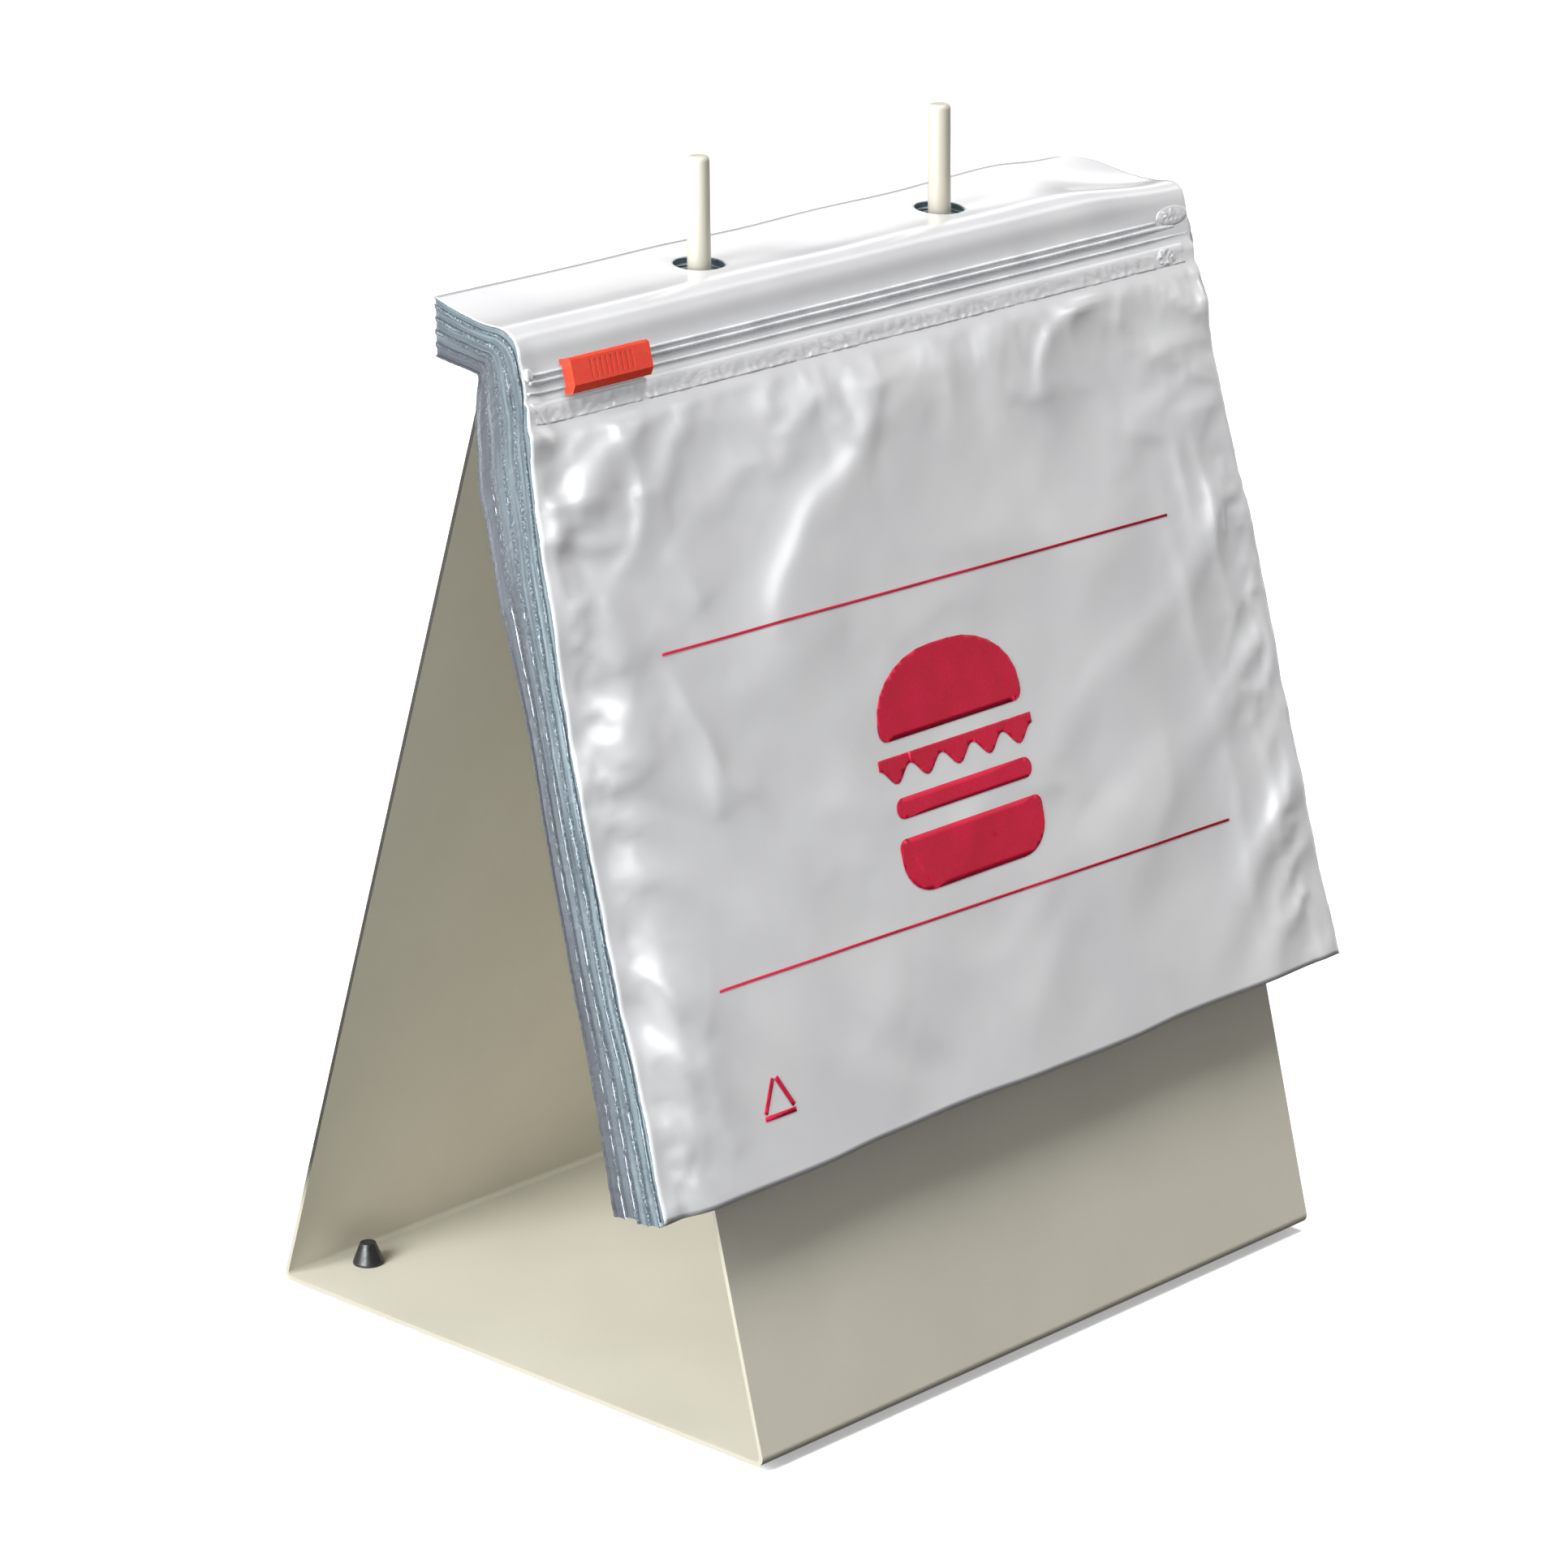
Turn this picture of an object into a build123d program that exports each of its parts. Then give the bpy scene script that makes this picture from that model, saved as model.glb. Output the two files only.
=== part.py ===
from build123d import *
import os
from math import cos, sin, tan, radians

# Countertop holder for slider bags. Millimetres, +Z up, the front faces -Y.
# The origin lies on the table, midway between the two pegs in X and at the
# middle of the base depth in Y.

# ---------------------------------------------------------------- stand sheet
STAND_WIDTH = 220.0        # length of every bend
STAND_SHIFT = 4.5          # stand centre to the right of the peg pair's centre
BASE_DEPTH = 183.0         # front corner to rear corner of the base
SHELF_HEIGHT = 276.0       # underside of the base to the top of the shelf
FRONT_LEAN = 14.0          # degrees from vertical, leaning back
REAR_LEAN = 18.4           # degrees from vertical, leaning forward
SHEET = 1.2                # 18 gauge steel
BEND_RADIUS = 2.4          # outside of each bend
LAP_GAP = 0.1              # paint film between the shelf and the lapped flange
LAP_LENGTH = 18.0          # how far the rear flange runs forward under the shelf

# ------------------------------------------------------------------------ feet
FOOT_HEIGHT = 2.5
FOOT_RADIUS = 6.0
FOOT_INSET_X = 21.0
FOOT_INSET_Y = 11.5
FOOT_NECK_RADIUS = 2.9
FOOT_HOLE_RADIUS = 3.0
FOOT_BARB_RADIUS = 4.3
FOOT_TIP_RADIUS = 2.2
FOOT_BARB_HEIGHT = 6.0
FOOT_BARB_LIP = 0.6        # straight rim under the barb's cone
FOOT_CLEARANCE = 0.05
FOOT_PAD_ROUND = 0.6

# ------------------------------------------------------------------------ pegs
PEG_RADIUS = 3.05
PEG_SPACING = 90.7
PEG_Y_FROM_FRONT = 77.0    # peg axis behind the base's front corner
PEG_HEIGHT = 41.5          # above the shelf
PEG_TOP_ROUND = 1.3
STUD_RADIUS = 2.0
STUD_LENGTH = 8.6
STUD_HOLE_RADIUS = 2.1
STUD_TIP_CHAMFER = 0.4
WASHER_RADIUS = 4.5
WASHER_THICKNESS = 0.8
NUT_ACROSS_FLATS = 7.0
NUT_HEIGHT = 3.2
NUT_CORNER_CHAMFER = 0.35
THREAD_CLEARANCE = 0.05

# ------------------------------------------------------------------------ bags
BAG_NAMES = ["front", "second", "third", "fourth", "fifth"]
BAG_PITCH = 2.7            # one bag to the next: two plies and the air between
BAG_THICKNESS = 2.3
STACK_CLEARANCE = 0.2      # fifth bag to the sheet it lies on
BAG_CORNER_RADIUS = 2.6    # fold of the fifth bag over the shelf's front bend
CORNER_GROWTH = 0.5        # each bag's fold radius grows by this much of its offset
BAG_REAR_EDGE = 94.0       # rear edge of the header, behind the base's front corner
BAG_BOTTOM = 73.3          # bottom of the bags, up the front panel from its foot
BAG_WIDTH_BOTTOM = 265.0
BAG_WIDTH_ZIP = 253.0
BAG_WIDTH_REAR = 240.0
ZIP_WIDTH_HEIGHT = 276.0   # height at which the bags are BAG_WIDTH_ZIP wide
HEADER_TAPER_START = 70.0  # header starts to narrow here, from the front corner
HEADER_HOLE_RADIUS = 6.8
HOLE_TO_ZIP = 29.8         # along the film, from the hole's centre to the zip's

# ------------------------------------------------------------ zipper and slider
BACK_PLY = 0.4             # film left behind the zipper
ZIP_BAND = 10.0            # height of the band that the zipper fills
ZIP_LENGTH = 250.0
ZIP_GAP = 0.05
ZIP_WEB = 0.45
TRACK_HEIGHT = 5.8         # both tracks together
TRACK_SLOT = 0.9           # between the two tracks
TRACK_DEPTH = 0.65
LEFT_STOP = 3.0
RIGHT_STOP = 14.0
SLIDER_LENGTH = 27.0
SLIDER_HEIGHT = 8.8
SLIDER_X = -100.6          # rest position of the slider's centre
SLIDER_PLATE = 0.7         # in front of the tracks, on a bag inside the stack
FRONT_SLIDER_PLATE = 3.4   # the same on the front bag, where nothing covers it
LOWER_BEVEL_DEPTH = 0.40   # bevels of the front face, as shares of the plate's depth
LOWER_BEVEL_HEIGHT = 0.55
UPPER_BEVEL = 0.18
GRIP_COUNT = 9
GRIP_PITCH = 1.75
GRIP_WIDTH = 0.8
GRIP_DEPTH = 0.3
GRIP_HEIGHT = 4.8
GRIP_RISE = 0.6            # grip centre above the slider's middle

# ------------------------------------------------------------- derived sizes
FRONT_ANGLE = radians(FRONT_LEAN)
REAR_ANGLE = radians(REAR_LEAN)
Y_SHIFT = -BASE_DEPTH / 2
BASE_Z = FOOT_HEIGHT
SHELF_Z = BASE_Z + SHELF_HEIGHT
FRONT_CORNER_Y = SHELF_HEIGHT * tan(FRONT_ANGLE) + Y_SHIFT
REAR_CORNER_Y = BASE_DEPTH - SHELF_HEIGHT * tan(REAR_ANGLE) + Y_SHIFT
PEG_Y = PEG_Y_FROM_FRONT + Y_SHIFT
PEG_XS = [-PEG_SPACING / 2, PEG_SPACING / 2]
LAP_TOP = SHELF_Z - SHEET - LAP_GAP
LAP_BOTTOM = LAP_TOP - SHEET
TALL = 400.0               # longer than any piece, for cutting tools

# Local frame on the front panel: x along the width, y up the panel from its
# foot, z out of the panel's outer face.
PANEL = Plane(
    origin=(0, Y_SHIFT, BASE_Z),
    x_dir=(1, 0, 0),
    z_dir=(0, -cos(FRONT_ANGLE), sin(FRONT_ANGLE)),
)
SIDE_VIEW = Plane(origin=(0, 0, 0), x_dir=(0, 1, 0), z_dir=(1, 0, 0))


def shifted_left(path, distance):
    """Move an open path of (y, z) corners to its left, keeping it parallel."""
    points = [Vector(y, z) for y, z in path]
    directions = [(b - a).normalized() for a, b in zip(points, points[1:])]
    lefts = [Vector(-d.Y, d.X) for d in directions]
    moved = [points[0] + lefts[0] * distance]
    for i in range(1, len(points) - 1):
        bisector = (lefts[i - 1] + lefts[i]).normalized()
        reach = distance / bisector.dot(lefts[i])
        moved.append(points[i] + bisector * reach)
    moved.append(points[-1] + lefts[-1] * distance)
    return moved


def band(path, near, far, near_radius, far_radius, width):
    """Bent strip between two parallels of a path, extruded along X."""
    with BuildSketch(SIDE_VIEW) as profile:
        with BuildLine():
            inner = FilletPolyline(*shifted_left(path, near), radius=near_radius)
            outer = FilletPolyline(*shifted_left(path, far), radius=far_radius)
            Line(inner @ 0, outer @ 0)
            Line(inner @ 1, outer @ 1)
        make_face()
    return extrude(profile.sketch, amount=width / 2, both=True)


def stand_shell():
    """One bent sheet: shelf, front panel, base, rear panel and lapped flange."""
    lap_corner_y = REAR_CORNER_Y + (SHEET + LAP_GAP) * tan(REAR_ANGLE)
    path = [
        (REAR_CORNER_Y, SHELF_Z),
        (FRONT_CORNER_Y, SHELF_Z),
        (Y_SHIFT, BASE_Z),
        (BASE_DEPTH + Y_SHIFT, BASE_Z),
        (lap_corner_y, LAP_TOP),
        (lap_corner_y - LAP_LENGTH, LAP_TOP),
    ]
    shell = band(path, 0, SHEET, BEND_RADIUS, BEND_RADIUS - SHEET, STAND_WIDTH)
    shell = Pos(STAND_SHIFT, 0, 0) * shell
    for x in PEG_XS:
        shell -= Pos(x, PEG_Y, SHELF_Z) * Cylinder(STUD_HOLE_RADIUS, 2 * STUD_LENGTH)
    for x, y in foot_places():
        shell -= Pos(x, y, BASE_Z) * Cylinder(FOOT_HOLE_RADIUS, 2 * FOOT_HEIGHT)
    return shell


def foot_places():
    """Centres of the four feet: front left, front right, rear left, rear right."""
    half_x = STAND_WIDTH / 2 - FOOT_INSET_X
    half_y = BASE_DEPTH / 2 - FOOT_INSET_Y
    return [(STAND_SHIFT + i * half_x, j * half_y) for j in (-1, 1) for i in (-1, 1)]


def turned(points):
    """Solid of revolution about Z from a closed outline of (radius, z) points."""
    with BuildSketch(Plane.XZ) as profile:
        with BuildLine():
            Polyline(*points, close=True)
        make_face()
    return revolve(profile.sketch, axis=Axis.Z)


def foot():
    """Push-in rubber foot: pad below the sheet, neck in its hole, barb above."""
    pad_top = FOOT_HEIGHT - FOOT_CLEARANCE
    barb_bottom = BASE_Z + SHEET + FOOT_CLEARANCE
    solid = turned([
        (0, 0),
        (FOOT_RADIUS - FOOT_PAD_ROUND, 0),
        (FOOT_RADIUS, FOOT_PAD_ROUND),
        (FOOT_RADIUS, pad_top - FOOT_PAD_ROUND / 2),
        (FOOT_RADIUS - FOOT_PAD_ROUND / 2, pad_top),
        (FOOT_NECK_RADIUS, pad_top),
        (FOOT_NECK_RADIUS, barb_bottom),
        (FOOT_BARB_RADIUS, barb_bottom),
        (FOOT_BARB_RADIUS, barb_bottom + FOOT_BARB_LIP),
        (FOOT_TIP_RADIUS, barb_bottom + FOOT_BARB_HEIGHT),
        (0, barb_bottom + FOOT_BARB_HEIGHT),
    ])
    return solid


def peg():
    """Peg with a rounded top, standing on the shelf on its own threaded stud."""
    rod = Pos(0, 0, SHELF_Z + PEG_HEIGHT / 2) * Cylinder(PEG_RADIUS, PEG_HEIGHT)
    rod = fillet(rod.edges().group_by(Axis.Z)[-1], PEG_TOP_ROUND)
    stud = Pos(0, 0, SHELF_Z - STUD_LENGTH / 2) * Cylinder(STUD_RADIUS, STUD_LENGTH)
    stud = chamfer(stud.edges().group_by(Axis.Z)[0], STUD_TIP_CHAMFER)
    return rod + stud


def washer():
    """Flat washer under the lapped flange, around a stud."""
    z = LAP_BOTTOM - WASHER_THICKNESS / 2
    ring = Cylinder(WASHER_RADIUS, WASHER_THICKNESS)
    ring -= Cylinder(STUD_HOLE_RADIUS, 2 * WASHER_THICKNESS)
    return Pos(0, 0, z) * ring


def nut():
    """Hexagon nut under its washer, corners turned down on the lower side."""
    z = LAP_BOTTOM - WASHER_THICKNESS - NUT_HEIGHT / 2
    body = extrude(RegularPolygon(NUT_ACROSS_FLATS / 2, 6, major_radius=False),
                   amount=NUT_HEIGHT / 2, both=True)
    corner_radius = NUT_ACROSS_FLATS / 2 / cos(radians(30))
    turned_blank = Cylinder(corner_radius, NUT_HEIGHT)
    turned_blank = chamfer(turned_blank.edges().group_by(Axis.Z)[0], NUT_CORNER_CHAMFER)
    body = body & turned_blank
    body -= Cylinder(STUD_RADIUS + THREAD_CLEARANCE, 2 * NUT_HEIGHT)
    return Pos(0, 0, z) * body


def bag_offset(index):
    """Back of a bag's film above the stand's surface; index 0 is the front bag."""
    bags_behind = len(BAG_NAMES) - 1 - index
    return STACK_CLEARANCE + bags_behind * BAG_PITCH


def corner_radius(offset):
    """Radius of the stack's fold at a height above the stand's surface."""
    return BAG_CORNER_RADIUS + CORNER_GROWTH * offset


def mirrored(right_half):
    """Polygon from its right half, listed from bottom to top."""
    left_half = [(-x, y) for x, y in reversed(right_half)]
    return Polygon(*right_half, *left_half, align=None)


def bag_outline():
    """Solid that trims the bags: wider to the bottom, and a narrowing header."""
    bottom_z = BASE_Z + BAG_BOTTOM * cos(FRONT_ANGLE)
    zip_z = BASE_Z + ZIP_WIDTH_HEIGHT
    rise = zip_z - bottom_z
    widening = (BAG_WIDTH_BOTTOM - BAG_WIDTH_ZIP) / 2
    front_view = mirrored([
        (BAG_WIDTH_BOTTOM / 2 + widening, bottom_z - rise),
        (BAG_WIDTH_ZIP / 2 - widening, zip_z + rise),
    ])
    top_view = mirrored([
        (BAG_WIDTH_BOTTOM, -TALL),
        (BAG_WIDTH_BOTTOM, HEADER_TAPER_START + Y_SHIFT),
        (BAG_WIDTH_ZIP / 2, HEADER_TAPER_START + Y_SHIFT),
        (BAG_WIDTH_REAR / 2, BAG_REAR_EDGE + Y_SHIFT),
    ])
    front_trim = extrude(Plane.XZ * front_view, amount=TALL, both=True)
    top_trim = extrude(top_view, amount=TALL, both=True)
    return front_trim & top_trim


def zip_centre(index):
    """Height of a bag's zip up the panel: the same film length from the hole."""
    offset = bag_offset(index) + BAG_THICKNESS
    radius = corner_radius(offset)
    turn = radians(90) - FRONT_ANGLE
    tangent = radius * tan(turn / 2)
    fold_z = SHELF_Z + offset
    fold_y = FRONT_CORNER_Y + offset * tan(FRONT_ANGLE) - offset / cos(FRONT_ANGLE)
    fold_up = (fold_y - Y_SHIFT) * sin(FRONT_ANGLE) + (fold_z - BASE_Z) * cos(FRONT_ANGLE)
    along_header = PEG_Y - fold_y - tangent
    return fold_up - tangent - (HOLE_TO_ZIP - along_header - radius * turn)


def on_panel(solid, index):
    """Place a piece made in the zip's own frame onto a bag's zip."""
    return PANEL.location * Pos(0, zip_centre(index), bag_offset(index)) * solid


def bag_film(index):
    """One bag as a closed sheet: header, fold and the pouch hanging in front."""
    near = bag_offset(index)
    far = near + BAG_THICKNESS
    path = [
        (BAG_BOTTOM * sin(FRONT_ANGLE) + Y_SHIFT, BASE_Z + BAG_BOTTOM * cos(FRONT_ANGLE)),
        (FRONT_CORNER_Y, SHELF_Z),
        (BAG_REAR_EDGE + Y_SHIFT, SHELF_Z),
    ]
    film = band(path, near, far, corner_radius(near), corner_radius(far), TALL)
    film = film & bag_outline()
    for x in PEG_XS:
        film -= Pos(x, PEG_Y, SHELF_Z) * Cylinder(HEADER_HOLE_RADIUS, TALL)
    groove = Pos(0, 0, BACK_PLY + BAG_THICKNESS / 2) * Box(TALL, ZIP_BAND, BAG_THICKNESS)
    return film - on_panel(groove, index)


def bag_zipper():
    """Zipper strip: web, two tracks and the stops at both ends."""
    web_bottom = BACK_PLY + ZIP_GAP
    web_top = web_bottom + ZIP_WEB
    band_height = ZIP_BAND - 2 * ZIP_GAP
    strip = Pos(0, 0, web_bottom + ZIP_WEB / 2) * Box(ZIP_LENGTH, band_height, ZIP_WEB)
    track = (TRACK_HEIGHT - TRACK_SLOT) / 2
    for side in (-1, 1):
        y = side * (TRACK_SLOT + track) / 2
        strip += Pos(0, y, web_top + TRACK_DEPTH / 2) * Box(ZIP_LENGTH, track, TRACK_DEPTH)
    stop_depth = BAG_THICKNESS - web_top
    for length, side in ((LEFT_STOP, -1), (RIGHT_STOP, 1)):
        x = side * (ZIP_LENGTH - length) / 2
        strip += Pos(x, 0, web_top + stop_depth / 2) * Box(length, SLIDER_HEIGHT, stop_depth)
    return strip


def slider(plate):
    """Slider that hooks around both tracks; plate is its depth in front of them."""
    back = BACK_PLY + ZIP_GAP + ZIP_WEB + ZIP_GAP
    track_front = back + TRACK_DEPTH
    front = track_front + plate
    half_height = SLIDER_HEIGHT / 2
    half_channel = TRACK_HEIGHT / 2 + ZIP_GAP
    with BuildSketch(SIDE_VIEW) as profile:
        with BuildLine():
            Polyline(
                (-half_height, back),
                (-half_height, front - LOWER_BEVEL_DEPTH * plate),
                (-half_height + LOWER_BEVEL_HEIGHT * plate, front),
                (half_height - UPPER_BEVEL * plate, front),
                (half_height, front - UPPER_BEVEL * plate),
                (half_height, back),
                (half_channel, back),
                (half_channel, track_front),
                (-half_channel, track_front),
                (-half_channel, back),
                close=True,
            )
        make_face()
    body = extrude(profile.sketch, amount=SLIDER_LENGTH / 2, both=True)
    groove = Box(GRIP_WIDTH, GRIP_HEIGHT, 2 * GRIP_DEPTH)
    first = -GRIP_PITCH * (GRIP_COUNT - 1) / 2
    for i in range(GRIP_COUNT):
        body -= Pos(first + i * GRIP_PITCH, GRIP_RISE, front) * groove
    return Pos(SLIDER_X, 0, 0) * body


def save(node, shape):
    """Write one node's STEP file."""
    export_step(shape, f"parts/{node}.step")


def main():
    os.makedirs("parts", exist_ok=True)
    save("stand_shell", stand_shell())
    for side, x in zip(("left", "right"), PEG_XS):
        save(f"peg_{side}", Pos(x, PEG_Y, 0) * peg())
    save("peg_washers", Compound([Pos(x, PEG_Y, 0) * washer() for x in PEG_XS]))
    save("peg_nuts", Compound([Pos(x, PEG_Y, 0) * nut() for x in PEG_XS]))
    corners = ("front_left", "front_right", "rear_left", "rear_right")
    for corner, (x, y) in zip(corners, foot_places()):
        save(f"foot_{corner}", Pos(x, y, 0) * foot())
    for index, name in enumerate(BAG_NAMES):
        plate = FRONT_SLIDER_PLATE if index == 0 else SLIDER_PLATE
        save(f"{name}_bag_film", bag_film(index))
        save(f"{name}_bag_zipper", on_panel(bag_zipper(), index))
        save(f"{name}_bag_slider", on_panel(slider(plate), index))


main()
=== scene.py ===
from math import cos, pi, radians, sin, tan

import bpy
import bmesh
import numpy as np
from mathutils import Matrix, Vector


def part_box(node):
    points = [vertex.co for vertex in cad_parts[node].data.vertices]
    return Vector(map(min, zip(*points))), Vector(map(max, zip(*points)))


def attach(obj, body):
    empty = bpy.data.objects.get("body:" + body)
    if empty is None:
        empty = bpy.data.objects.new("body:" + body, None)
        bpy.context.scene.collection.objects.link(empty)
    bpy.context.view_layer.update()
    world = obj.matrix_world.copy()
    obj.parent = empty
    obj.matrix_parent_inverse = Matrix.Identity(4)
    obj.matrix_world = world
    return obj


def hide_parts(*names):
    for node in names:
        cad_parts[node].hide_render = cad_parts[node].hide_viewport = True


# Looks of the countertop holder for slider bags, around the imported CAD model.
# Lengths in the shape code are millimetres; make_object turns them into metres.

MM = 0.001
BAG_NAMES = ["front", "second", "third", "fourth", "fifth"]

# ------ the stand's geometry
PANEL_LEAN = radians(14.0)
TURN = pi / 2 - PANEL_LEAN          # angle of the bags' fold
PANEL_FOOT_Y = -91.5                # front corner of the base
FOLD_CORNER_Y = PANEL_FOOT_Y + 276.0 * tan(PANEL_LEAN)

# ------ the bags
FOLD_RADIUS = 2.6                   # fold of a film lying on the stand
FOLD_GROWTH = 0.5
BAG_THICKNESS = 2.3
BAG_BOTTOM = 73.3                   # bottom of the bags, up the panel
HOLE_TO_ZIP = 29.8                  # along the film
HOLE_RADIUS = 6.8
HOLE_X = 45.35
REAR_Q = -17.0                      # rear edge of the header; q runs down the film
BOTTOM_Q = 238.0                    # from the holes' row
ROWS = 180                          # rows of a film's mesh
FINE_COLUMN = HOLE_X / 32           # column width of the front film's mesh
SEAM_LEFT = 132.0                   # the front film's welded sides, from the middle
SEAM_RIGHT = 126.0
CORNER_RADIUS = 9.0                 # right rear corner of the header
# Half widths of a bag, left and right, down the film.
WIDTH_Q = [-17, -9, 7, 20, 29.8, 40, 70, 136, 193, 238]
WIDTH_LEFT = [121, 123.2, 127, 127.8, 128.4, 130.9, 134.2, 134.8, 134.8, 134.8]
WIDTH_RIGHT = [119, 121.6, 125.2, 124.6, 124.1, 122.6, 123.4, 126.8, 129.2, 131.2]

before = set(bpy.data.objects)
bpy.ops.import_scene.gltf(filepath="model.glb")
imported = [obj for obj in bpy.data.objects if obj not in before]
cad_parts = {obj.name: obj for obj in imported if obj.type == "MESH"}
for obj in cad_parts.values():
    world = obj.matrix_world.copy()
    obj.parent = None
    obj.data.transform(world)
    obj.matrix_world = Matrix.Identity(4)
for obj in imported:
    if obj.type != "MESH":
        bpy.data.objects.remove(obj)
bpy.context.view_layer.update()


def node_box(node):
    """A CAD node's lowest and highest corners, in millimetres."""
    low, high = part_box(node)
    return low / MM, high / MM


SHELF_Z = node_box("stand_shell")[1].z
BASE_Z = node_box("stand_shell")[0].z
PEG_Y = sum(corner.y for corner in node_box("peg_left")) / 2
REAR_Y = node_box("front_bag_film")[1].y
FILM_TOPS = {name: node_box(name + "_bag_film")[1].z - SHELF_Z for name in BAG_NAMES}
FRONT_TOP = FILM_TOPS["front"]
HIDDEN_TOP = FRONT_TOP - BAG_THICKNESS      # the hidden bags lie below this


# ------ numeric helpers
def smooth(value, start, end):
    """Smooth step of an array from 0 at start to 1 at end."""
    share = np.clip((value - start) / (end - start), 0.0, 1.0)
    return share * share * (3.0 - 2.0 * share)


def blend(corner, fx, fy):
    """Bilinear mix inside a cell; corner(dx, dy) gives the value at a corner."""
    low = corner(0, 0) * (1 - fx) + corner(1, 0) * fx
    high = corner(0, 1) * (1 - fx) + corner(1, 1) * fx
    return low * (1 - fy) + high * fy


def wave_noise(x, y, size, seed):
    """Smooth repeatable noise between -1 and 1 with features of a given size."""
    table = np.random.RandomState(seed).uniform(-1.0, 1.0, (64, 64))
    turn = 0.6 + seed * 0.37
    gx = (x * cos(turn) + y * sin(turn)) / size + 31.7
    gy = (y * cos(turn) - x * sin(turn)) / size + 17.3
    ix, iy = np.floor(gx).astype(int), np.floor(gy).astype(int)
    fx, fy = gx - ix, gy - iy
    fx = fx * fx * fx * (fx * (6.0 * fx - 15.0) + 10.0)
    fy = fy * fy * fy * (fy * (6.0 * fy - 15.0) + 10.0)
    return blend(lambda dx, dy: table[(ix + dx) % 64, (iy + dy) % 64], fx, fy)


def smooth_path(points, steps=10):
    """Catmull-Rom curve through a list of (x, y) points."""
    p = np.array([points[0]] + list(points) + [points[-1]], float)
    out = []
    for i in range(1, len(p) - 2):
        for t in np.linspace(0.0, 1.0, steps, endpoint=False):
            a, b, c, d = p[i - 1], p[i], p[i + 1], p[i + 2]
            out.append(0.5 * (2 * b + (c - a) * t + (2 * a - 5 * b + 4 * c - d) * t ** 2
                              + (3 * b - 3 * c + d - a) * t ** 3))
    out.append(p[-1])
    return np.array(out)


def path_distance(x, y, path):
    """Distance to a curve, its part across the curve (signed) and how far along."""
    best = np.full(x.shape, 1e9)
    across = np.zeros(x.shape)
    along = np.zeros(x.shape)
    count = len(path) - 1
    for i in range(count):
        (ax, ay), (bx, by) = path[i], path[i + 1]
        dx, dy = bx - ax, by - ay
        length = max(dx * dx + dy * dy, 1e-9)
        t = np.clip(((x - ax) * dx + (y - ay) * dy) / length, 0.0, 1.0)
        ox, oy = x - ax - t * dx, y - ay - t * dy
        distance = np.hypot(ox, oy)
        closer = distance < best
        best = np.where(closer, distance, best)
        across = np.where(closer, (dx * oy - dy * ox) / length ** 0.5, across)
        along = np.where(closer, (i + t) / count, along)
    return best, across, along


def grid_faces(number):
    """Faces of a grid of point numbers, without the cells that miss a corner."""
    corners = np.stack([number[:-1, :-1], number[1:, :-1], number[1:, 1:], number[:-1, 1:]],
                       axis=-1)
    return corners[(corners >= 0).all(axis=-1)].tolist()


# ------ film surface
def fold_at(n):
    """Fold of a surface lying n above the stand: radius, header start, z, s."""
    radius = FOLD_RADIUS + FOLD_GROWTH * n
    corner_y = FOLD_CORNER_Y + n * tan(PANEL_LEAN) - n / cos(PANEL_LEAN)
    reach = radius * tan(TURN / 2)
    up = ((corner_y - PANEL_FOOT_Y) * sin(PANEL_LEAN)
          + (SHELF_Z + n - BASE_Z) * cos(PANEL_LEAN))
    return radius, corner_y + reach, SHELF_Z + n, up - reach


def zip_height(far):
    """Height up the panel of the zip of a bag whose film top is at far."""
    radius, head_y, _, tangent = fold_at(far)
    return tangent - (HOLE_TO_ZIP - (PEG_Y - head_y) - radius * TURN)


def film_point(x, q, n, far):
    """Points (mm) at width x, distance q down the film and height n."""
    ref_radius, ref_head, _, ref_tangent = fold_at(far)
    head_len = PEG_Y - ref_head
    zip_s = zip_height(far)
    below = (q - HOLE_TO_ZIP) * (zip_s - BAG_BOTTOM) / (BOTTOM_Q - HOLE_TO_ZIP)
    s_ref = np.where(q < HOLE_TO_ZIP, zip_s + HOLE_TO_ZIP - q, zip_s - below)
    radius, head_y, top, tangent = fold_at(n)
    share = (q - REAR_Q) / (head_len - REAR_Q)
    header_y = REAR_Y + share * (head_y - REAR_Y)
    angle = np.clip((q - head_len) / ref_radius, 0.0, TURN)
    arc_y = head_y - radius * np.sin(angle)
    arc_z = top - radius + radius * np.cos(angle)
    s = tangent - (ref_tangent - s_ref) / (ref_tangent - BAG_BOTTOM) * (tangent - BAG_BOTTOM)
    panel_y = PANEL_FOOT_Y + s * sin(PANEL_LEAN) - n * cos(PANEL_LEAN)
    panel_z = BASE_Z + s * cos(PANEL_LEAN) + n * sin(PANEL_LEAN)
    on_header = q < head_len
    on_arc = (q >= head_len) & (q < head_len + ref_radius * TURN)
    y = np.where(on_header, header_y, np.where(on_arc, arc_y, panel_y))
    z = np.where(on_header, top, np.where(on_arc, arc_z, panel_z))
    return np.stack([x + 0 * y, y + hang_back(x, q, n), z], axis=-1)


def edge_limits(q):
    """Half widths of a bag at q, with the right rear corner rounded."""
    left = np.interp(q, WIDTH_Q, WIDTH_LEFT)
    right = np.interp(q, WIDTH_Q, WIDTH_RIGHT)
    depth = np.clip(CORNER_RADIUS - (q - REAR_Q), 0.0, CORNER_RADIUS)
    right += np.sqrt(np.maximum(CORNER_RADIUS ** 2 - depth ** 2, 0.0)) - CORNER_RADIUS
    return left, right


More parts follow.
